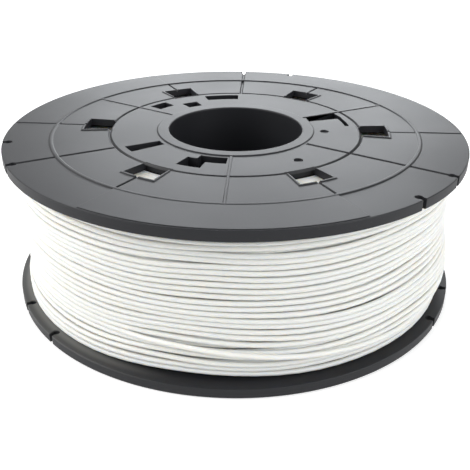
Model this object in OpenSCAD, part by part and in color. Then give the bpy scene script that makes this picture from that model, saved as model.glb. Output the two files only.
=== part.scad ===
// Filament spool: two identical moulded halves that lock with a short twist, and the wound filament.
// Millimetres. The axis is Z, and the spool stands on the ring beads of its lower half at z = 0.

/* [Overall] */
// Diameter of the flanges
flange_d = 180; // [178:1:200]
// Width over the ring beads of both flanges
width = 62.4; // [50:0.1:80]
// Diameter of the bore that turns on a spindle
bore_d = 53; // [45:0.5:56]

/* [Flange] */
// Thickness of the flange plate
plate_t = 3.8; // [3:0.1:5]
// Thickness of the plate round the windows, where its inner side is sunk
thin_plate_t = 2.4; // [2:0.1:2.8]
// Height by which the bead and the collar stand proud of the plate
bead_h = 0.4; // [0.3:0.05:0.8]
// Width of the ring bead
bead_w = 1.6; // [1.2:0.1:3]
// Diameter of the middle of the ring bead
bead_d = 144; // [136:1:150]
// Chamfer on the edges of the rim
rim_chamfer = 0.4; // [0.3:0.1:1.2]
// Distance that the ring groove round the hub deck starts inside the drum's surface
ring_groove_inset = 0.5; // [0.4:0.1:1.5]
// Width of the ring groove
ring_groove_w = 1.6; // [1:0.1:2]
// Depth of the ring groove and the radial grooves
groove_depth = 0.7; // [0.4:0.1:1.2]
// Width of the three broad radial grooves
broad_groove_w = 1.5; // [1:0.1:2.5]
// Width of the fine radial grooves, one on each window
fine_groove_w = 0.8; // [0.5:0.1:1.2]
// Width of the three low ribs from the collar to the ring bead
rib_w = 1.1; // [0.8:0.1:1.6]
// Height of the ribs, the window frames and the outer panels
relief_h = 0.25; // [0.15:0.05:0.3]
// Angle that each of the three outer panels spans
panel_span = 60; // [40:1:70]

/* [Windows] */
// Number of windows in a flange
window_count = 6; // [3:1:8]
// Distance of the windows' inner edge from the drum's surface
window_offset = 0.3; // [0.2:0.1:3]
// Radial length of a window
window_len = 10.5; // [7:0.5:12]
// Angle that a window spans
window_span = 12.4; // [8:0.2:16]
// Width of the raised frame round a window
frame_w = 1.1; // [0.8:0.1:1.6]

/* [Keyholes] */
// Diameter of a keyhole's round end
keyhole_d = 2.8; // [2.6:0.1:4]
// Width of the slit from the round end to the rim
keyhole_slit_w = 1.9; // [1.2:0.1:2.4]
// Distance from the rim to the middle of the round end
keyhole_inset = 2.4; // [2.2:0.1:5]
// Angle between the two keyholes of a pair
keyhole_pair_angle = 15.6; // [10:0.1:30]

/* [Hub] */
// Width of the raised collar round the bore
collar_w = 4.5; // [3:0.1:5]
// Diameter of the drum that the filament lies on
drum_d = 99; // [90:0.5:104]
// Wall of the drum
drum_wall = 2.2; // [1.8:0.1:3]
// Wall of the tube round the bore
tube_wall = 3; // [2:0.1:3.5]
// Thickness of the webs between the tube and the drum
web_t = 1.6; // [1.2:0.1:2.2]
// Gap between the two halves where they meet
seam_gap = 0.3; // [0.2:0.05:0.6]

/* [Twist lock] */
// Width of a lug, along its arc
lug_w = 5.6; // [4:0.1:6]
// Thickness of a lug's stem
lug_t = 2.4; // [1.8:0.1:3]
// Distance of a lug's stem from the tube round the bore
lug_offset = 4.5; // [3.5:0.1:5.5]
// Reach of a lug's hook beyond its stem
hook_reach = 4; // [3:0.1:5]
// Height of a lug's hook
hook_h = 3; // [2:0.1:4]
// Thickness of the shelf that the hook holds
shelf_t = 2.5; // [2:0.1:3.5]
// Distance of the shelf from the seam
shelf_offset = 2; // [1:0.1:4]
// Clearance all round a locked hook
lock_clearance = 0.3; // [0.2:0.05:0.4]
// Thickness of the stop beside a shelf
stop_t = 1.6; // [1.2:0.1:2.5]

/* [Filament] */
// Diameter of the strand
strand_d = 1.75; // [1.5:0.05:1.8]
// Diameter over the outer layer of the winding
wound_d = 170; // [150:1:171]
// Gap between neighbouring turns of the outer layer
turn_gap = 0.42; // [0.42:0.01:0.8]
// Clearance between the winding and each flange
winding_clearance = 0.3; // [0.3:0.05:0.6]
// Clearance between the winding and the drum
drum_clearance = 0.3; // [0.3:0.05:0.6]
// Clearance between the outer layer and the core under it
layer_clearance = 0.15; // [0.1:0.05:0.3]
// Radius of the bends at the strand's ends
strand_bend_r = 2.4; // [2.2:0.1:2.6]

/* [Hidden] */
$fn = 120;
eps = 0.01;

flange_r = flange_d / 2;
bore_r = bore_d / 2;
tube_r = bore_r + tube_wall;
drum_r = drum_d / 2;
drum_inner_r = drum_r - drum_wall;
collar_r = bore_r + collar_w;
window_inner_r = drum_r + window_offset;
panel_margin = 0.2;
lug_r = tube_r + lug_offset;
half_w = width / 2;
face_z = half_w - bead_h;
inner_z = face_z - plate_t;
thin_z = face_z - thin_plate_t;
thin_r = window_inner_r + window_len + 2.5;
sunk_h = thin_z - inner_z;

// Directions of the features on the outer face, in degrees from +X, seen from outside
web_angles = [for (k = [0:5]) 60 * k - 32.7];
window_turn = -2.9;
window_angles = [for (k = [0:window_count - 1]) window_turn + 360 / window_count * k];
broad_groove_angles = [for (k = [0:2]) 120 * k - 32.7];
rib_angles = [for (k = [0:2]) 120 * k + 27.3];
panel_angles = [for (k = [0:2]) 120 * k + 30 + window_turn];
keyhole_angles = [for (k = [0:2]) for (side = [0, 1]) 120 * k - 32.6 - keyhole_pair_angle * side];
shelf_turn = -112.5;
// The second half is the first one turned over about a line in the seam at half this angle
flip_angle = 54.3;
lug_turn = flip_angle - shelf_turn;

// Openings in the hub deck that let the mould reach the lock: middle angle, inner radius, outer
// radius, and the angle spanned
deck_margin = 1.8;
opening_in = collar_r + deck_margin;
opening_out = drum_inner_r - 0.7;
deck_openings = [
    [-148.3, opening_in, opening_out, 7.4],
    [-112.2, opening_in + 3.2, opening_out - 2.6, 12],
    [-103.5, opening_in, opening_in + 5.5, 17.4],
    [21.8, opening_in, opening_out, 8.6],
    [15.3, opening_out - 2, opening_out - 0.3, 20],
    [98.2, opening_out - 6, opening_out, 19],
    [137.5, opening_out - 6, opening_out, 10.6],
    [121, opening_in + 1.2, opening_in + 7.2, 10]
];
// Shallow round dimples in the deck: angle and radius
dimple_d = 3.4;
dimple_spots = [[-56.6, collar_r + 9.9], [-4.5, collar_r + 4.4]];

// Twist lock: heights from the seam into the half that owns the shelf
shelf_top = shelf_offset + shelf_t;
hook_bottom = shelf_top + lock_clearance;
hook_top = hook_bottom + hook_h;
stem_r = lug_r + lug_t;
hook_r = stem_r + hook_reach;
shelf_inner_r = stem_r + lock_clearance;
lug_half_angle = arc_angle(lug_w / 2, lug_r);
stop_half_angle = arc_angle(stop_t / 2, hook_r);
stop_turn = -lug_half_angle - stop_half_angle - arc_angle(lock_clearance, lug_r);

// Winding
strand_r = strand_d / 2;
sides = 6;
ring_step = 15;
turn_r = wound_d / 2 - strand_r;
core_r = turn_r * cos(ring_step / 2) - strand_r - layer_clearance;
core_bottom = half_w - inner_z + winding_clearance;
core_top = half_w + inner_z - winding_clearance;
first_turn_z = core_top - strand_r;
last_turn_z = core_bottom + strand_r;
turn_count = min(24 - 1 / 24, (first_turn_z - last_turn_z) / (strand_d + turn_gap));
ring_count = floor(turn_count * 360 / ring_step);
keyhole_r = flange_r - keyhole_inset;
tail_angle = flip_angle - keyhole_angles[1];
tail_bend_angle = arc_angle(strand_bend_r, keyhole_r);
tail_end_z = bead_h + 0.4;
start_angle = tail_angle - tail_bend_angle - ring_count * ring_step;
start_leg_r = turn_r - strand_bend_r - strand_d;
pocket_d = 2 * strand_bend_r;

function arc_angle(arc, r) = arc / r * 180 / PI;

// A ring with a rectangular section, or the part of one round the angle mid
module ring_part(r1, r2, z1, z2, mid = 0, span = 360) {
    rotate([0, 0, span < 360 ? mid - span / 2 : 0])
        rotate_extrude(angle = span)
            translate([r1, z1])
                square([r2 - r1, z2 - z1]);
}

// A bar that lies along a radius, from r1 to r2
module radial_bar(angle, r1, r2, w, z1, z2) {
    rotate([0, 0, angle])
        translate([r1, -w / 2, z1])
            cube([r2 - r1, w, z2 - z1]);
}

// The flange plate, sunk on its inner side round the windows, and the raised collar, with chamfered
// rim edges
module plate() {
    c = rim_chamfer;
    rotate_extrude()
        polygon([
            [bore_r, inner_z], [drum_r, inner_z], [drum_r, thin_z], [thin_r, thin_z],
            [thin_r + sunk_h, inner_z], [flange_r - c, inner_z], [flange_r, inner_z + c],
            [flange_r, face_z - c], [flange_r - c, face_z], [collar_r + bead_h, face_z],
            [collar_r, half_w], [bore_r, half_w]
        ]);
}

// The panels between the ring bead and the rim
module panels() {
    for (a = panel_angles)
        ring_part(bead_d / 2, flange_r - rim_chamfer - panel_margin, inner_z + plate_t / 2,
            face_z + relief_h, a, panel_span);
}

// The ribs run on over the ring groove
module ribs() {
    for (a = rib_angles)
        radial_bar(a, collar_r - 1, bead_d / 2, rib_w, face_z - groove_depth - eps,
            face_z + relief_h);
}

// The ring bead runs on over the radial grooves
module ring_bead() {
    root = groove_depth + eps;
    rotate_extrude()
        translate([bead_d / 2, face_z])
            polygon([
                [-bead_w / 2, -root], [bead_w / 2, -root], [bead_w / 2, 0],
                [bead_w / 4, bead_h], [-bead_w / 4, bead_h], [-bead_w / 2, 0]
            ]);
}

module grooves() {
    floor_z = face_z - groove_depth;
    deck_r = drum_r - ring_groove_inset;
    ring_part(deck_r, deck_r + ring_groove_w, floor_z, half_w);
    for (a = broad_groove_angles)
        radial_bar(a, deck_r, keyhole_r, broad_groove_w, floor_z, half_w);
    radial_bar(broad_groove_angles[0], opening_in - 0.8, deck_r + eps, broad_groove_w, floor_z,
        half_w);
    for (a = window_angles)
        radial_bar(a, window_inner_r + window_len, bead_d / 2, fine_groove_w, floor_z, half_w);
}

module window_frames() {
    frame_span = window_span + 2 * arc_angle(frame_w, window_inner_r + window_len);
    for (a = window_angles)
        ring_part(window_inner_r - frame_w, window_inner_r + window_len + frame_w,
            thin_z + eps, face_z + relief_h, a, frame_span);
}

module windows() {
    for (a = window_angles)
        ring_part(window_inner_r, window_inner_r + window_len, inner_z - 1, half_w + 1,
            a, window_span);
}

module keyholes() {
    for (a = keyhole_angles) {
        rotate([0, 0, a])
            translate([keyhole_r, 0, inner_z - 1])
                cylinder(d = keyhole_d, h = plate_t + 2, $fn = 40);
        radial_bar(a, keyhole_r, flange_r + 1, keyhole_slit_w, inner_z - 1, half_w + 1);
    }
}

module deck_cuts() {
    for (o = deck_openings)
        ring_part(o[1], o[2], inner_z - 1, half_w + 1, o[0], o[3]);
    for (s = dimple_spots)
        rotate([0, 0, s[0]])
            translate([s[1], 0, face_z - groove_depth])
                cylinder(d = dimple_d, h = half_w, $fn = 40);
}

// The tube round the bore, the drum and the webs between them, down to the seam
module hub_walls() {
    seam_z = seam_gap / 2;
    ring_part(bore_r, tube_r, seam_z, inner_z + eps);
    ring_part(drum_inner_r, drum_r, seam_z, inner_z + eps);
    for (a = web_angles)
        radial_bar(a, tube_r - eps * 10, drum_inner_r + eps * 10, web_t, seam_z, inner_z + eps);
}

// Three lugs, each a stem on a web of the tube, with a hook beyond the seam
module lugs() {
    span = 2 * lug_half_angle;
    for (k = [0:2]) {
        a = lug_turn + 120 * k;
        ring_part(lug_r, stem_r, -hook_top, inner_z + eps, a, span);
        ring_part(stem_r - eps, hook_r, -hook_top, -hook_bottom, a, span);
        radial_bar(a, tube_r - eps * 10, lug_r + lug_t / 2, web_t, seam_gap / 2, inner_z + eps);
    }
}

// Three shelves on the drum's wall that the other half's hooks hold, each with its stop
module shelves() {
    for (k = [0:2]) {
        a = shelf_turn + 120 * k;
        ring_part(shelf_inner_r, drum_inner_r + eps * 10, shelf_offset, shelf_top,
            a, 2 * lug_half_angle);
        ring_part(shelf_inner_r, drum_inner_r + eps * 10, shelf_offset, hook_top,
            a + stop_turn, 2 * stop_half_angle);
    }
}

// One moulded half, with the seam at z = 0 and its outer face up
module half() {
    difference() {
        union() {
            difference() {
                union() {
                    plate();
                    panels();
                    window_frames();
                }
                grooves();
                deck_cuts();
            }
            ring_bead();
            ribs();
            hub_walls();
            shelves();
        }
        windows();
        keyholes();
    }
    lugs();
}

module upper_half() {
    color("dimgray")
        translate([0, 0, half_w])
            half();
}

module lower_half() {
    color("dimgray")
        translate([0, 0, half_w])
            rotate([0, 0, flip_angle])
                rotate([180, 0, 0])
                    half();
}

// The inner layers, as a plain ring, with the pocket that the outer layer climbs out of
module filament_core() {
    color("ivory")
        difference() {
            ring_part(drum_r + drum_clearance, core_r, core_bottom, core_top);
            rotate([0, 0, start_angle])
                translate([start_leg_r, 0, first_turn_z])
                    rotate([0, 90, 0])
                        cylinder(d = pocket_d, h = turn_r, $fn = 40);
        }
}

// The strand's centre line: out of the core, round and down, and into a keyhole of the lower flange
function spot(r, a, z) = [r * cos(a), r * sin(a), z];
function turn_z(i) = first_turn_z + (last_turn_z - first_turn_z) * i / ring_count;
function turn_radius(i) = turn_r + (keyhole_r - turn_r) * max(0, (i - ring_count) / 6 + 1);
bend_steps = 4;
function start_bend(t) =
    spot(turn_r - strand_bend_r * (1 - sin(t)), start_angle, first_turn_z)
    + strand_bend_r * (1 - cos(t)) * [-sin(start_angle), cos(start_angle), 0];
function tail_bend(t) =
    spot(keyhole_r, tail_angle, last_turn_z - strand_bend_r * (1 - cos(t)))
    - strand_bend_r * (1 - sin(t)) * [-sin(tail_angle), cos(tail_angle), 0];
centre_line = concat(
    [spot(start_leg_r, start_angle, first_turn_z)],
    [for (s = [0:bend_steps]) start_bend(90 * s / bend_steps)],
    [for (i = [1:ring_count - 1])
        spot(turn_radius(i), start_angle + ring_step * i, turn_z(i))],
    [for (s = [0:bend_steps]) tail_bend(90 * s / bend_steps)],
    [spot(keyhole_r, tail_angle, tail_end_z)]
);

// A tube of six sides along a line: each ring stands square to the line at its point
function unit(v) = v / norm(v);
function along(p, i) = unit(p[min(i + 1, len(p) - 1)] - p[max(i - 1, 0)]);
function across(d, last) = unit(last - (last * d) * d);
module tube(p, r) {
    n = len(p);
    sides_of = [for (i = 0, u = across(along(p, 0), [0, 0, 1]); i < n;
        i = i + 1, u = i < n ? across(along(p, i), u) : u) u];
    points = [for (i = [0:n - 1]) for (s = [0:sides - 1])
        let (u = sides_of[i], v = cross(along(p, i), u), a = 360 / sides * s)
            p[i] + r * (cos(a) * u + sin(a) * v)];
    walls = [for (i = [0:n - 2]) for (s = [0:sides - 1])
        let (a = i * sides + s, b = i * sides + (s + 1) % sides)
            each [[a, a + sides, b], [b, a + sides, b + sides]]];
    caps = [for (s = [1:sides - 2])
        each [[0, s, s + 1], [for (q = [s + 1, s, 0]) (n - 1) * sides + q]]];
    polyhedron(points, concat(walls, caps));
}

// The least gap between any two stretches that lie half a turn or more apart along the strand
module print_least_gap(p) {
    half_turn = 180 / ring_step;
    gaps = [for (i = [0:len(p) - half_turn - 1])
        for (j = [i + half_turn:min(len(p) - 1, i + 3 * half_turn)]) norm(p[i] - p[j]) - strand_d];
    echo(least_gap_of_outer_turns = min(gaps), turns = turn_count);
}

module filament_outer_turns() {
    print_least_gap(centre_line);
    color("ivory")
        tube(centre_line, strand_r);
}

lower_half();
upper_half();
filament_core();
filament_outer_turns();
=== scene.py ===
import math
import random

import bmesh
import bpy
from mathutils import Matrix, Vector


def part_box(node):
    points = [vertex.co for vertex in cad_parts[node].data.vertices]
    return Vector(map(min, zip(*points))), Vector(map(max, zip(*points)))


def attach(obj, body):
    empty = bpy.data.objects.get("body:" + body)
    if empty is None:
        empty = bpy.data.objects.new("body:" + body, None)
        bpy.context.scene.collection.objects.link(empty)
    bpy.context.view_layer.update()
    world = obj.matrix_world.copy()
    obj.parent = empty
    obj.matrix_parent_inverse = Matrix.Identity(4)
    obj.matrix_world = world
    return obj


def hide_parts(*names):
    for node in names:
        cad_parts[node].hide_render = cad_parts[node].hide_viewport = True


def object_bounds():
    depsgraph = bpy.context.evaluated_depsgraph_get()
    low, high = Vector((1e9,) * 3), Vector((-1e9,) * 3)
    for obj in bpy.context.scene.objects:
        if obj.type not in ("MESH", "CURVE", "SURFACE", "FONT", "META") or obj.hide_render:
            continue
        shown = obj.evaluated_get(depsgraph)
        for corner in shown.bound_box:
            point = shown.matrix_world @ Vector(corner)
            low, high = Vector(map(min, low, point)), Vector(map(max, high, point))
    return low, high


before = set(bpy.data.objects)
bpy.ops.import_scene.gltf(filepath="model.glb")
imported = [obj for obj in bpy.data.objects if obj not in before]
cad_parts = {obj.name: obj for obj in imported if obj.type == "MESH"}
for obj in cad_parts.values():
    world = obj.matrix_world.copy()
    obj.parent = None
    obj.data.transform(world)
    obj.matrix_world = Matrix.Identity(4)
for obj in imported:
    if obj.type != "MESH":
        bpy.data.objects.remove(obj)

cad_low, cad_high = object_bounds()
scene = bpy.context.scene
MM = 0.001


# Camera. It stands in front of the spool and a little above it, so close that the rims fill the
# view from side to side.
camera_distance = 291.25 * MM
camera_elevation = math.radians(24.57)
camera_pan = math.radians(-0.028)
camera_tilt = math.radians(3.052)
camera_roll = math.radians(0.490)

camera_data = bpy.data.cameras.new("camera")
camera_data.sensor_width = 36
camera_data.lens = 52.84
camera_data.clip_start = 0.01
camera = bpy.data.objects.new("camera", camera_data)
scene.collection.objects.link(camera)
scene.camera = camera
spool_centre = (cad_low + cad_high) / 2
outwards = Vector((0, -math.cos(camera_elevation), math.sin(camera_elevation)))
camera.matrix_world = (
    Matrix.Translation(spool_centre + camera_distance * outwards)
    @ Matrix.Rotation(math.pi / 2 - camera_elevation, 4, "X")
    @ Matrix.Rotation(camera_pan, 4, "Y")
    @ Matrix.Rotation(-camera_tilt, 4, "X")
    @ Matrix.Rotation(camera_roll, 4, "Z")
)


# The two halves. Each is the same moulding in black styrene: a flange, half of the drum, half of
# the tube round the bore, six webs between them, and three hooked lugs that the other half's
# shelves hold after a short twist. Sizes are in millimetres, and heights start at the seam.
half_width = spool_centre.z / MM
flange_r = cad_high.x / MM
face_z = half_width - 0.4
inner_z = face_z - 3.8
thin_z = face_z - 2.4
seam_z = 0.15
bore_r = 26.5
collar_r = bore_r + 4.5
tube_r = bore_r + 3
drum_r = 49.5
drum_inner_r = drum_r - 2.2
bead_r = 72
rim_rounding = 0.35
edge_rounding = 0.13
groove_z = face_z - 0.7
relief_z = face_z + 0.25

# How finely the round outlines are spun, and how far one shape runs into the next to join it.
ring_steps = 240
sunk_in = 0.5

window_r = (drum_r + 0.3, drum_r + 10.8)
window_span = 12.4
frame_width = 1.1
frame_z = face_z + 0.38
thin_r = window_r[1] + 2.5
window_angles = [60 * k - 2.9 for k in range(6)]
web_angles = [60 * k - 32.7 for k in range(6)]
web_width = 1.6
broad_groove_angles = [120 * k - 32.7 for k in range(3)]
broad_groove = (0.5, 1.57)
fine_groove = (0.2, 1.26)
ring_groove_r = 49.8
rib_angles = [120 * k + 27.3 for k in range(3)]
panel_angles = [120 * k + 27.1 for k in range(3)]
keyhole_angles = [120 * k - turn for k in range(3) for turn in (32.6, 48.2)]
keyhole_r = flange_r - 2.4
keyhole_end_r = 1.4
keyhole_width = 1.9
flip_angle = 54.3

# The twist lock. A lug reaches past the seam and its hook turns in under a shelf, up to a stop.
lug_angles = [120 * k + 166.8 for k in range(3)]
lug_r = (34, 36.4)
hook_r = (36, 40.4)
hook_z = (-7.8, -4.8)
lug_half_span = math.degrees(2.8 / lug_r[0])
shelf_angles = [120 * k - 112.5 for k in range(3)]
shelf_inner_r = 36.7
shelf_z = (2, 4.5)
stop_top_z = 7.8
stop_half_span = math.degrees(0.8 / hook_r[1])
stop_turn = -lug_half_span - stop_half_span - math.degrees(0.3 / lug_r[0])

# The openings in the hub deck, which let the mould reach the lock: middle angle, inner and outer
# radius, angle spanned. Then the two round ejector marks: angle and radius.
deck_openings = [
    (-148.3, 32.8, 46.6, 7.4),
    (-112.2, 36, 44, 12),
    (-103.5, 32.8, 38.3, 17.4),
    (21.8, 32.8, 46.6, 8.6),
    (15.3, 44.6, 46.3, 20),
    (98.2, 40.6, 46.6, 19),
    (137.5, 40.6, 46.6, 10.6),
    (121, 34, 40, 10),
]
ejector_marks = [(-56.6, 40.9), (-4.5, 35.4)]
ejector_r = 1.7


def spin_outline(bm, corners, steps):
    """Spins a closed outline round the axis. A corner is its radius, height and rounding."""
    points = [bm.verts.new((radius, 0, height)) for radius, height, _ in corners]
    bm.faces.new(points)
    for rounding in sorted({corner[2] for corner in corners} - {0}):
        chosen = [point for point, corner in zip(points, corners) if corner[2] == rounding]
        bmesh.ops.bevel(bm, geom=chosen, offset=rounding, segments=4, profile=0.5,
                        affect="VERTICES", material=-1)
    bmesh.ops.delete(bm, geom=bm.faces[:], context="FACES_ONLY")
    bmesh.ops.spin(bm, geom=bm.verts[:] + bm.edges[:], cent=(0, 0, 0), axis=(0, 0, 1),
                   angle=math.tau, steps=steps, use_merge=True)
    bmesh.ops.recalc_face_normals(bm, faces=bm.faces[:])


def arc_block(bm, inner, outer, low, high, middle, span):
    """A block with a rectangular section, bent round the axis."""
    start = Matrix.Rotation(math.radians(middle - span / 2), 4, "Z")
    corners = [(inner, 0, low), (outer, 0, low), (outer, 0, high), (inner, 0, high)]
    face = bm.faces.new([bm.verts.new(start @ Vector(corner)) for corner in corners])
    bmesh.ops.spin(bm, geom=[face, *face.edges, *face.verts], cent=(0, 0, 0), axis=(0, 0, 1),
                   angle=math.radians(span), steps=max(2, round(span / 1.5)))


def radial_bar(bm, angle, inner, outer, width, low, high, spread=0):
    """A straight bar along a radius, wider at its top by the spread."""
    place = Matrix.Rotation(math.radians(angle), 4, "Z") @ Matrix.Translation(
        ((inner + outer) / 2, 0, (low + high) / 2))
    size = Matrix.Diagonal((outer - inner, width, high - low, 1))
    bar = bmesh.ops.create_cube(bm, size=1, matrix=place @ size)
    top = [corner for corner in bar["verts"] if corner.co.z > (low + high) / 2]
    bmesh.ops.scale(bm, vec=(1, 1 + spread / width, 1), space=place.inverted(), verts=top)


def groove(bm, angle, inner, outer, shape):
    """A straight groove along a radius. Its shape is the width of its floor and how much wider it
    is at its top."""
    floor_width, spread = shape
    radial_bar(bm, angle, inner, outer, floor_width, groove_z, half_width, spread)


def slope_sides(bm, height, run):
    """Slopes the sides of blocks down from their tops at a height."""
    bmesh.ops.recalc_face_normals(bm, faces=bm.faces[:])
    tops = [edge for edge in bm.edges
            if all(abs(point.co.z - height) < 0.001 for point in edge.verts)
            and len(edge.link_faces) == 2 and edge.calc_face_angle() > 1]
    bmesh.ops.bevel(bm, geom=tops, offset=run, segments=1, profile=0.5, affect="EDGES",
                    material=-1)


def round_peg(bm, angle, radius, peg_r, low, high):
    """A round peg that stands at an angle and radius."""
    place = Matrix.Rotation(math.radians(angle), 4, "Z") @ Matrix.Translation(
        (radius, 0, (low + high) / 2))
    bmesh.ops.create_cone(bm, cap_ends=True, segments=32, radius1=peg_r, radius2=peg_r,
                          depth=high - low, matrix=place)


def mesh_of(bm, name):
    """Closes a bmesh into a mesh, with its faces outwards."""
    bmesh.ops.recalc_face_normals(bm, faces=bm.faces[:])
    mesh = bpy.data.meshes.new(name)
    bm.to_mesh(mesh)
    bm.free()
    return mesh


def new_piece(name, mesh):
    piece = bpy.data.objects.new(name, mesh)
    scene.collection.objects.link(piece)
    return piece


def put_in_order(bm):
    """Sorts points, edges and faces by where they are. It brings runs closer together, but the
    boolean itself still differs a little from run to run."""
    along = Vector((1, 7.3137, 53.7411))
    bm.verts.sort(key=lambda point: point.co.dot(along))
    bm.edges.sort(key=lambda edge: (edge.verts[0].co + edge.verts[1].co).dot(along))
    bm.faces.sort(key=lambda face: face.calc_center_median().dot(along))


def with_tool(body_mesh, tool_mesh, operation):
    """The body with the tool joined to it or cut out of it."""
    body = new_piece("body", body_mesh)
    tool = new_piece("tool", tool_mesh)
    join = body.modifiers.new("join", "BOOLEAN")
    join.operation = operation
    join.solver = "EXACT"
    join.use_self = True
    join.object = tool
    evaluated = body.evaluated_get(bpy.context.evaluated_depsgraph_get())
    result = bpy.data.meshes.new_from_object(evaluated)
    bpy.data.objects.remove(body)
    bpy.data.objects.remove(tool)
    ordered = bmesh.new()
    ordered.from_mesh(result)
    put_in_order(ordered)
    ordered.to_mesh(result)
    ordered.free()
    return result


# The flange, collar, bead, drum and tube are one outline spun round the axis.
turned = bmesh.new()
spin_outline(turned, [
    (bore_r, seam_z, 0.2), (tube_r, seam_z, 0.2), (tube_r, inner_z, 0.4),
    (drum_inner_r, inner_z, 0.4), (drum_inner_r, seam_z, 0.2), (drum_r, seam_z, 0.2),
    (drum_r, thin_z, 0.3), (thin_r, thin_z, 0.3), (thin_r + 1.4, inner_z, 0.4),
    (flange_r, inner_z, rim_rounding), (flange_r, face_z, rim_rounding),
    (bead_r + 0.85, face_z, 0.12), (bead_r + 0.5, half_width, 0.25),
    (bead_r - 0.5, half_width, 0.25), (bead_r - 0.85, face_z, 0.12),
    (collar_r + 0.4, face_z, 0.1), (collar_r, half_width, 0.2), (bore_r, half_width, 0.6),
], ring_steps)
half_mesh = mesh_of(turned, "half")

# Raised on the flange and inside the hub.
raised = bmesh.new()
for angle in panel_angles:
    arc_block(raised, bead_r, flange_r - 0.6, inner_z + 1.9, relief_z, angle, 60)
slope_sides(raised, relief_z, 0.27)
for angle in window_angles:
    arc_block(raised, drum_r - 0.8, window_r[1] + frame_width, thin_z + sunk_in, frame_z, angle,
              window_span + 2 * math.degrees(frame_width / window_r[1]))
slope_sides(raised, frame_z, 0.4)
for angle in web_angles:
    radial_bar(raised, angle, tube_r - sunk_in, drum_inner_r + sunk_in, web_width, seam_z,
               inner_z + sunk_in)
for angle in shelf_angles:
    arc_block(raised, shelf_inner_r, drum_inner_r + sunk_in, *shelf_z, angle, 2 * lug_half_span)
    arc_block(raised, shelf_inner_r, drum_inner_r + sunk_in, shelf_z[0], stop_top_z,
              angle + stop_turn, 2 * stop_half_span)
half_mesh = with_tool(half_mesh, mesh_of(raised, "raised"), "UNION")

# Sunk or cut through. The grooves have sloping sides.
sunk = bmesh.new()
spin_outline(sunk, [(49.65, groove_z, 0), (49.95, groove_z, 0), (50.75, half_width, 0),
                    (48.85, half_width, 0)], ring_steps)
cuts = bmesh.new()
for angle in broad_groove_angles:
    groove(cuts, angle, ring_groove_r, bead_r - 0.8, broad_groove)
    groove(cuts, angle, bead_r + 0.8, keyhole_r, broad_groove)
groove(cuts, broad_groove_angles[0], 32, ring_groove_r, broad_groove)
for angle in window_angles:
    groove(cuts, angle, window_r[1] - 1, bead_r - 0.8, fine_groove)
    arc_block(cuts, window_r[0], window_r[1], inner_z - 1, half_width, angle, window_span)
for angle in keyhole_angles:
    round_peg(cuts, angle, keyhole_r, keyhole_end_r, inner_z - 1, half_width + 1)
    radial_bar(cuts, angle, keyhole_r, flange_r + 1, keyhole_width, inner_z - 1, half_width + 1)
for angle, inner, outer, span in deck_openings:
    arc_block(cuts, inner, outer, inner_z - 0.05, half_width, angle, span)
for angle, radius in ejector_marks:
    round_peg(cuts, angle, radius, ejector_r, groove_z, half_width)
half_mesh = with_tool(half_mesh, mesh_of(sunk, "sunk"), "DIFFERENCE")
half_mesh = with_tool(half_mesh, mesh_of(cuts, "cuts"), "DIFFERENCE")

# The ribs run on over the ring groove, and the lugs reach past the seam into the other half.
added = bmesh.new()
for angle in rib_angles:
    radial_bar(added, angle, collar_r - 1, bead_r, 0.9, groove_z - 0.01, relief_z)
for angle in lug_angles:
    arc_block(added, *lug_r, hook_z[0], inner_z + sunk_in, angle, 2 * lug_half_span)
    arc_block(added, *hook_r, *hook_z, angle, 2 * lug_half_span)
    radial_bar(added, angle, tube_r - sunk_in, 35, web_width, seam_z, inner_z + sunk_in)
half_mesh = with_tool(half_mesh, mesh_of(added, "added"), "UNION")


def on_spoke(edge):
    """Whether an edge lies along one of twelve radii."""
    return all(abs((math.degrees(math.atan2(point.co.y, point.co.x)) + 15) % 30 - 15) < 0.01
               for point in edge.verts)


# The mould's edges are not quite sharp. Flat faces are joined first, but not across the twelve
# radii, which keeps them from closing into rings. Known fault: at the seam some of the joined faces
# still fold over part of an open hub cell, and cross the other half's lugs when it turns.
weld_reach = 0.03
flat_within = math.radians(0.4)
sharp_beyond = math.radians(32)
half = bmesh.new()
half.from_mesh(half_mesh)
bmesh.ops.remove_doubles(half, verts=half.verts[:], dist=weld_reach)
put_in_order(half)
bmesh.ops.dissolve_limit(half, angle_limit=flat_within, verts=half.verts[:],
                         edges=[edge for edge in half.edges if not on_spoke(edge)],
                         delimit=set())
edges = [edge for edge in half.edges
         if len(edge.link_faces) == 2 and edge.calc_face_angle() > sharp_beyond]
bmesh.ops.bevel(half, geom=edges, offset=edge_rounding, segments=2, profile=0.5,
                affect="EDGES", clamp_overlap=False, material=-1)
bmesh.ops.remove_doubles(half, verts=half.verts[:], dist=0.005)
half_mesh = mesh_of(half, "half")
half_mesh.shade_smooth()


class Wire:
    """A socket of a material's nodes. Arithmetic on wires adds the Math nodes that it needs."""

    def __init__(self, tree, socket=None):
        self.tree = tree
        self.socket = socket

    def node(self, kind, settings=None, sockets=None, output=0):
        """Adds a node: its settings come first, then the values or wires of its sockets."""
        node = self.tree.nodes.new(kind)
        for name, value in (settings or {}).items():
            setattr(node, name, value)
        for name, value in (sockets or {}).items():
            if isinstance(value, Wire):
                self.tree.links.new(value.socket, node.inputs[name])
            else:
                node.inputs[name].default_value = value
        return Wire(self.tree, node.outputs[output] if node.outputs else None)

    def beside(self, output):
        """Another output of the node that this wire comes from."""
        return Wire(self.tree, self.socket.node.outputs[output])

    def maths(self, operation, *values):
        sockets = dict(enumerate(values))
        return self.node("ShaderNodeMath", {"operation": operation}, sockets)

    def __add__(self, other):
        return self.maths("ADD", self, other)

    def __radd__(self, other):
        return self.maths("ADD", other, self)

    def __sub__(self, other):
        return self.maths("SUBTRACT", self, other)

    def __rsub__(self, other):
        return self.maths("SUBTRACT", other, self)

    def __mul__(self, other):
        return self.maths("MULTIPLY", self, other)

    def __rmul__(self, other):
        return self.maths("MULTIPLY", other, self)


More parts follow.
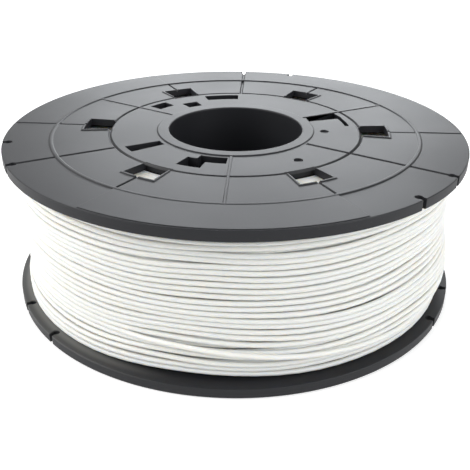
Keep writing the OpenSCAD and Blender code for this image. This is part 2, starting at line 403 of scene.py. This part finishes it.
def blank_material(name):
    """An empty material, as a wire to build on."""
    material = bpy.data.materials.new(name)
    material.use_nodes = True
    material.node_tree.nodes.clear()
    return material, Wire(material.node_tree)


def noise(place, size, detail=2.0, roughness=0.5):
    """Soft noise from 0 to 1, in lumps of that size in metres."""
    return place.node("ShaderNodeTexNoise", None, {
        "Vector": place, "Scale": 1 / size, "Detail": detail, "Roughness": roughness}, "Fac")


def ramp_up(value, low, high):
    """0 up to low, 1 from high, and a smooth rise between them."""
    return value.node("ShaderNodeMapRange", {"interpolation_type": "SMOOTHSTEP"},
                      {"Value": value, "From Min": low, "From Max": high})


def blended(share, first, second):
    """A colour between two others."""
    return share.node("ShaderNodeMix", {"data_type": "RGBA"},
                      {0: share, 6: first, 7: second}, 2)


def radius_at(place):
    """How far a point on the spool is from the axis."""
    across = place.node("ShaderNodeVectorMath", {"operation": "MULTIPLY"},
                        {0: place, 1: (1, 1, 0)})
    return across.node("ShaderNodeVectorMath", {"operation": "LENGTH"}, {0: across}, "Value")


# The plastic is near black and satin. The mould gives it a fine spark-eroded grain, its colour
# and shine drift a little where the melt flowed, and the edge of the rim is scuffed. A painted
# sheen lightens the left side of the lower flange's inner face, and painted shade blackens the
# walls in the hub and the windows.
moulded_plastic, wire = blank_material("moulded_plastic")
place = wire.node("ShaderNodeTexCoord", output="Object")
flow = noise(place, 42 * MM, detail=3)
grain = noise(place, 0.35 * MM, detail=1.5)
scuffs = noise(place, 1.9 * MM, detail=5, roughness=0.7)
at_rim = ramp_up(radius_at(place), 89.0 * MM, 89.9 * MM)
worn = at_rim * ramp_up(scuffs, 0.6, 0.75)
shade = blended(flow, (0.0085, 0.009, 0.0112, 1), (0.0125, 0.0132, 0.016, 1))
shade = blended(worn, shade, (0.024, 0.024, 0.025, 1))
right = place.node("ShaderNodeSeparateXYZ", None, {0: place})
height = right.beside("Z")
left = 0 - right
# Painted sheen: the left of the lower flange's inner face is made a lighter grey, which stands in
# for light reflected there.
low_flange = ramp_up(height, 3.4 * MM, 4 * MM) * (1 - ramp_up(height, 4.6 * MM, 5.4 * MM))
painted_sheen = low_flange * ramp_up(radius_at(place), 83 * MM, 86 * MM) * ramp_up(left, 15 * MM, 70 * MM)
painted_sheen = painted_sheen * (1 - 0.7 * ramp_up(radius_at(place), 86.5 * MM, 89 * MM))
shade = blended(painted_sheen, shade, (0.16, 0.16, 0.155, 1))
# Painted shade: below the face, the walls in the hub and the windows are made almost black, which
# stands in for the shade in these hollows.
from_middle = (height - spool_centre.z).maths("ABSOLUTE")
painted_hub_shade = (1 - ramp_up(from_middle, 29 * MM, 29.9 * MM)) * (
    1 - ramp_up(radius_at(place), 61 * MM, 62 * MM))
shade = blended(painted_hub_shade, shade, (0.0015, 0.0015, 0.0018, 1))
bump = wire.node("ShaderNodeBump", None, {
    "Strength": 0.3, "Distance": 0.02 * MM, "Height": grain + 0.5 * scuffs})
plastic = wire.node("ShaderNodeBsdfPrincipled", None, {
    "Base Color": shade,
    "Roughness": 0.42 + 0.1 * flow + 0.06 * grain + 0.12 * worn + 0.3 * painted_hub_shade,
    "Specular IOR Level": 0.29,
    "Normal": bump})
wire.node("ShaderNodeOutputMaterial", None, {"Surface": plastic})
half_mesh.materials.append(moulded_plastic)

raise_to_seam = Matrix.Translation((0, 0, spool_centre.z)) @ Matrix.Scale(MM, 4)
turn_over = Matrix.Rotation(math.radians(flip_angle), 4, "Z") @ Matrix.Rotation(math.pi, 4, "X")
for name, node, body, turn in [
    ("upper_moulding", "upper_half", "upper", Matrix.Identity(4)),
    ("lower_moulding", "lower_half", "lower", turn_over),
]:
    mesh = half_mesh.copy()
    mesh.transform(raise_to_seam @ turn)
    piece = new_piece(name, mesh)
    crisp = piece.modifiers.new("flat faces stay flat", "WEIGHTED_NORMAL")
    crisp.keep_sharp = True
    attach(piece, body)
    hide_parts(node)


# The inner layers of the filament. Layer on layer of the strand fills the room between the
# flanges, and each layer shows as a ridge where it turns back at a flange.
core_low, core_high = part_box("filament_core")
core_inner_r = 49.85
core_z = (core_low.z / MM, core_high.z / MM)
layer_step = 1.52
layers = 21
dice = random.Random(7)

side = [core_inner_r + layer_step * k for k in range(layers)]
ridges = bmesh.new()
outline = []
for z, inward, radii in [(core_z[0], 1, side), (core_z[1], -1, side[::-1])]:
    sweep = 1 if inward > 0 else -1
    for radius in radii:
        depth = dice.uniform(0, 0.12)
        first = radius if sweep > 0 else radius + layer_step
        for part, fall in [(0, 0.5), (0.2, 0.12), (0.5, 0), (0.8, 0.12)]:
            outline.append((first + sweep * part * layer_step, z + inward * (fall + depth), 0))
spin_outline(ridges, outline, 144)
# In front the layers bulge up into the sunk part of the upper flange.
swell = 1.6
swell_r = 63.9
for point in ridges.verts:
    radius = math.hypot(point.co.x, point.co.y)
    off_front = abs(math.degrees(math.atan2(-point.co.x, -point.co.y)))
    if point.co.z > half_width and radius < swell_r:
        share = min(1, (swell_r - radius) / 1.5) * min(1, max(0, (72 - off_front) / 20))
        point.co.z += swell * share
core = new_piece("inner_layers", mesh_of(ridges, "inner_layers"))
core.data.transform(Matrix.Scale(MM, 4))
core.data.shade_smooth()

# The filament is white, smooth and slightly see-through, with fine drawn lines along it.
filament_plastic, wire = blank_material("filament_plastic")
place = wire.node("ShaderNodeTexCoord", output="Object")
radius = radius_at(place)
height = place.node("ShaderNodeSeparateXYZ", None, {0: place}, "Z")
along = wire.node("ShaderNodeCombineXYZ", None, {0: radius, 2: height})
drawn = noise(along, 0.22 * MM, detail=2)
cloud = noise(place, 14 * MM, detail=3)
lumps = noise(place, 2.6 * MM, detail=2)
white = blended(cloud, (0.86, 0.845, 0.795, 1), (0.825, 0.81, 0.76, 1))
bump = wire.node("ShaderNodeBump", None, {
    "Strength": 0.2, "Distance": 0.02 * MM, "Height": drawn + 0.6 * lumps})
strand_surface = wire.node("ShaderNodeBsdfPrincipled", None, {
    "Base Color": white,
    "Roughness": 0.4 + 0.08 * cloud + 0.06 * drawn,
    "Subsurface Weight": 0.8,
    "Subsurface Radius": (1, 0.82, 0.62),
    "Subsurface Scale": 3 * MM,
    "Normal": bump})
wire.node("ShaderNodeOutputMaterial", None, {"Surface": strand_surface})
core.data.materials.append(filament_plastic)
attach(core, "lower")
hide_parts("filament_core")


# The outer turns. One unbroken 1.75 mm strand: a layer up, then a layer down over it. Its last turn
# climbs over the others behind, lies between two of them, crosses two more in front, and comes
# down behind to end in a keyhole of the lower flange.
strand_d = 1.75
points_per_turn = 72
step = 360 / points_per_turn
under_r = 82.6
over_r = 84.125
crossing_r = 85.65
top_z = 57.0
bottom_z = 5.4
turns = 23
pitch = (top_z - bottom_z) / (turns + 1)
layer_end = -330
slot = 1.9
first_slot = 18
second_slot = 20
lead_in = 8
exit_angle = 100.6
exit_r = 87.6

# Where neighbouring turns of the outer layer part: number of the upper turn, first and last angle,
# and how wide the gap opens.
front_gaps = [
    (0, -124, -98, 0.9), (1, -100, -49, 1.6), (3, -121, -94, 1.0), (5, -98, -68, 0.4),
    (6, -112, -82, 0.35), (7, -132, -56, 0.45), (8, -108, -78, 0.4), (9, -114, -84, 0.7),
    (10, -92, -48, 0.45), (12, -96, -70, 0.3), (13, -126, -102, 0.6), (14, -104, -64, 0.5),
    (16, -117, -70, 1.1), (17, -84, -54, 0.7), (19, -113, -70, 1.35), (20, -124, -97, 0.9),
    (21, -79, -57, 0.5),
]


def smoothed(values, reach):
    """Each value as the mean of its neighbours on both sides."""
    last = len(values) - 1
    return [sum(values[max(0, min(last, n + k))] for k in range(-reach, reach + 1))
            / (2 * reach + 1) for n in range(last + 1)]


def between(angle, points):
    """A value at an angle, from a list of angles and values, with soft turns between them."""
    for (first, low), (last, high) in zip(points, points[1:]):
        if angle <= last:
            share = max(0, (angle - first) / (last - first))
            return low + (high - low) * share * share * (3 - 2 * share)
    return points[-1][1]


def lens(angle, first, last):
    """How far a gap has opened at an angle, from 0 at its ends to 1 at its middle."""
    reach = ((angle - (first + last) / 2 + 180) % 360 - 180) / ((last - first) / 2)
    return max(0, 1 - reach * reach)


def bulge(angle, height):
    """How far the winding stands out: low down at one side, where its turns have slackened, and
    round the left at the very bottom."""
    return (2.8 * lens(angle, -105, 65) * between(height, [(5, 0.3), (15, 1), (36, 0)])
            + 1.5 * lens(angle, -200, -102) * (1 - between(height, [(7, 0), (16, 1)])))


def layer_heights(seed, gaps):
    """Heights of a layer's points, from the top down. A gap is its upper turn and its width at
    each angle of a turn."""
    dice = random.Random(seed)
    waves = [dice.gauss(0, 1) for _ in range(turns * points_per_turn)]
    for reach in (3, 3, 2):
        waves = smoothed(waves, reach)
    opening = [min(0.3, max(0, wave + 0.3) ** 1.25) for wave in waves]
    room = [[0.0] * points_per_turn for _ in range(turns)]
    for turn, widths in gaps:
        room[turn] = [old + width for old, width in zip(room[turn], widths)]
    for s in range(points_per_turn):
        spare = top_z - bottom_z - pitch - (turns - 1) * strand_d - sum(row[s] for row in room)
        share = spare / sum(opening[turn * points_per_turn + s] for turn in range(turns - 1))
        for turn in range(turns - 1):
            room[turn][s] += share * opening[turn * points_per_turn + s]
    heights = [top_z - pitch * part for part in stepped]
    for turn in range(turns - 1):
        heights += [heights[turn * points_per_turn + s] - strand_d - room[turn][s]
                    for s in range(points_per_turn)]
    heights.append(bottom_z)
    return smoothed(heights, 1)


# Each turn keeps level except behind, where it steps down to make room for the next.
turn_angles = [(layer_end + step * s) % 360 for s in range(points_per_turn)]
stepped = [between((angle - 30) % 360, [(0, 0), (70, 0), (140, 1)]) for angle in turn_angles]
gaps = [(turn, [width * lens(angle, first, last) for angle in turn_angles])
        for turn, first, last, width in front_gaps]
gaps.append((first_slot - 1, [
    slot * between(angle, [(100, 0), (170, 1), (250, 1), (300, 0)]) for angle in turn_angles]))
gaps.append((second_slot - 1, [
    slot * between(angle, [(0, 1), (35, 1), (80, 0), (296, 0), (323, 1)])
    for angle in turn_angles]))
gaps.append((turns - 1, [1.1 * lens(angle, -124, -76) for angle in turn_angles]))
outer_heights = layer_heights(3, gaps)
under_heights = layer_heights(11, [])[::-1]

angles = []
radii = []
heights = []
start = layer_end - step * (len(outer_heights) + len(under_heights) - 1)
for n, height in enumerate(under_heights):
    angles.append(start + step * n)
    radii.append(under_r - 1.6 * max(0, 1 - n / lead_in) + bulge(angles[-1], height))
    heights.append(height)
dice = random.Random(5)
wobble = smoothed(smoothed([dice.gauss(0, 0.35) for _ in outer_heights], 4), 3)
for n, height in enumerate(outer_heights):
    angles.append(start + step * (n + len(under_heights)))
    radii.append(over_r + wobble[n] - (over_r - under_r) * max(0, 1 - n / lead_in)
                 + bulge(angles[-1], height))
    heights.append(height)

# The last turn. It is at the layer's own radius where it lies in the layer, and further out where
# it rides over other turns.
last_turn_radii = [
    (-257, over_r), (-247, crossing_r), (-183, crossing_r), (-168, over_r), (-120, over_r),
    (-105, crossing_r), (-52, crossing_r), (-37, over_r), (37, over_r), (50, crossing_r),
    (90, crossing_r + 0.1), (exit_angle, exit_r),
]
for n in range(1, math.ceil((exit_angle - layer_end) / step)):
    angle = layer_end + step * n
    s = n % points_per_turn
    middles = [(outer_heights[(turn - 1) * points_per_turn + s]
                + outer_heights[turn * points_per_turn + s]) / 2
               for turn in (first_slot, second_slot)]
    height = between(angle, [
        (-257, bottom_z), (-172, middles[0]), (-114, middles[0]), (-42, middles[1]),
        (37, middles[1]), (95, 7.8), (exit_angle, 6.2)])
    angles.append(angle)
    radii.append(between(angle, last_turn_radii) + bulge(angle, height))
    heights.append(height)
# Its end goes down into the keyhole.
for angle, height in [(100.8, 6), (101.7, 5.3), (102.3, 4.3), (102.5, 3.2), (102.5, 2),
                      (102.5, 0.8)]:
    angles.append(angle)
    radii.append(exit_r)
    heights.append(height)

path = bpy.data.curves.new("outer_strand", "CURVE")
path.dimensions = "3D"
path.bevel_depth = strand_d / 2 * MM
path.bevel_resolution = 4
path.use_fill_caps = True
spline = path.splines.new("POLY")
spline.points.add(len(angles) - 1)
for point, angle, radius, height in zip(spline.points, angles, radii, heights):
    around = math.radians(angle)
    point.co = (radius * MM * math.cos(around), radius * MM * math.sin(around), height * MM, 1)
line = new_piece("line", path)
evaluated = line.evaluated_get(bpy.context.evaluated_depsgraph_get())
strand = new_piece("outer_strand", bpy.data.meshes.new_from_object(evaluated))
bpy.data.objects.remove(line)
strand.data.shade_smooth()
strand.data.materials.clear()
strand.data.materials.append(filament_plastic)
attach(strand, "lower")
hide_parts("filament_outer_turns")


# The floor. A white sheet that runs out of view on all sides, and keeps the spool's soft shadow.
def seen_directly(wire):
    """1 where the camera looks, straight or by way of a shiny or clear surface, and 0 where only
    soft light does."""
    rays = wire.node("ShaderNodeLightPath", output="Is Camera Ray")
    seen = rays
    for kind in ("Is Glossy Ray", "Is Transmission Ray"):
        seen = seen.maths("MAXIMUM", seen, rays.beside(kind))
    return seen


floor_mesh = bmesh.new()
bmesh.ops.create_grid(floor_mesh, x_segments=1, y_segments=1, size=6)
floor = new_piece("floor", mesh_of(floor_mesh, "floor"))
floor.data.transform(Matrix.Translation((0, 0, cad_low.z)))
paper, wire = blank_material("white_paper")
seen = seen_directly(wire)
place = wire.node("ShaderNodeTexCoord", output="Object")
open_floor = ramp_up(radius_at(place), 60 * MM, 80 * MM)
far_floor = ramp_up(radius_at(place), 0.3, 1.5)
sheet = wire.node("ShaderNodeBsdfPrincipled", None, {
    "Base Color": (0.8, 0.8, 0.8, 1),
    "Roughness": 0.9,
    "Specular IOR Level": 0,
    "Emission Color": (1, 1, 1, 1),
    "Emission Strength": seen * (0.5 * open_floor + 0.12 * far_floor)})
wire.node("ShaderNodeOutputMaterial", None, {"Surface": sheet})
floor.data.materials.append(paper)

# The light. The room is white. Soft lights stand at both sides, and a wide low one stands behind,
# which gives the flat faces their sheen.
world = bpy.data.worlds.new("room")
world.use_nodes = True
world.node_tree.nodes.clear()
scene.world = world
wire = Wire(world.node_tree)
seen = seen_directly(wire)
room = wire.node("ShaderNodeBackground", None, {
    "Color": (1, 1, 1, 1), "Strength": 0.5 + 0.5 * seen})
wire.node("ShaderNodeOutputWorld", None, {"Surface": room})


def softbox(name, turn, height, distance, width, depth, brightness, colour):
    """A soft light, at an angle round the axis and an angle up, that faces the spool. Brightness is
    that of its face, whatever its size."""
    light = bpy.data.lights.new(name, "AREA")
    light.shape = "RECTANGLE"
    light.size = width
    light.size_y = depth
    light.color = colour
    light.energy = brightness * math.pi * width * depth
    lamp = bpy.data.objects.new(name, light)
    scene.collection.objects.link(lamp)
    away = Vector((distance, 0, 0))
    away.rotate(Matrix.Rotation(math.radians(turn), 3, "Z")
                @ Matrix.Rotation(math.radians(-height), 3, "Y"))
    lamp.matrix_world = (Matrix.Translation(spool_centre + away)
                         @ away.to_track_quat("Z", "Y").to_matrix().to_4x4())
    lamp.visible_camera = False


softbox("left", -152, 29, 1.05, 0.6, 0.6, 3.1, (1, 0.99, 0.975))
softbox("left side", 178, 28, 1.05, 0.5, 0.5, 6, (1, 0.99, 0.975))
softbox("right", -32, 25, 1.05, 0.6, 0.6, 5, (0.98, 0.99, 1))
softbox("behind", 87, 21.5, 1.2, 0.8, 0.42, 7, (0.93, 0.965, 1))

scene.view_settings.view_transform = "Standard"

bpy.context.view_layer.update()
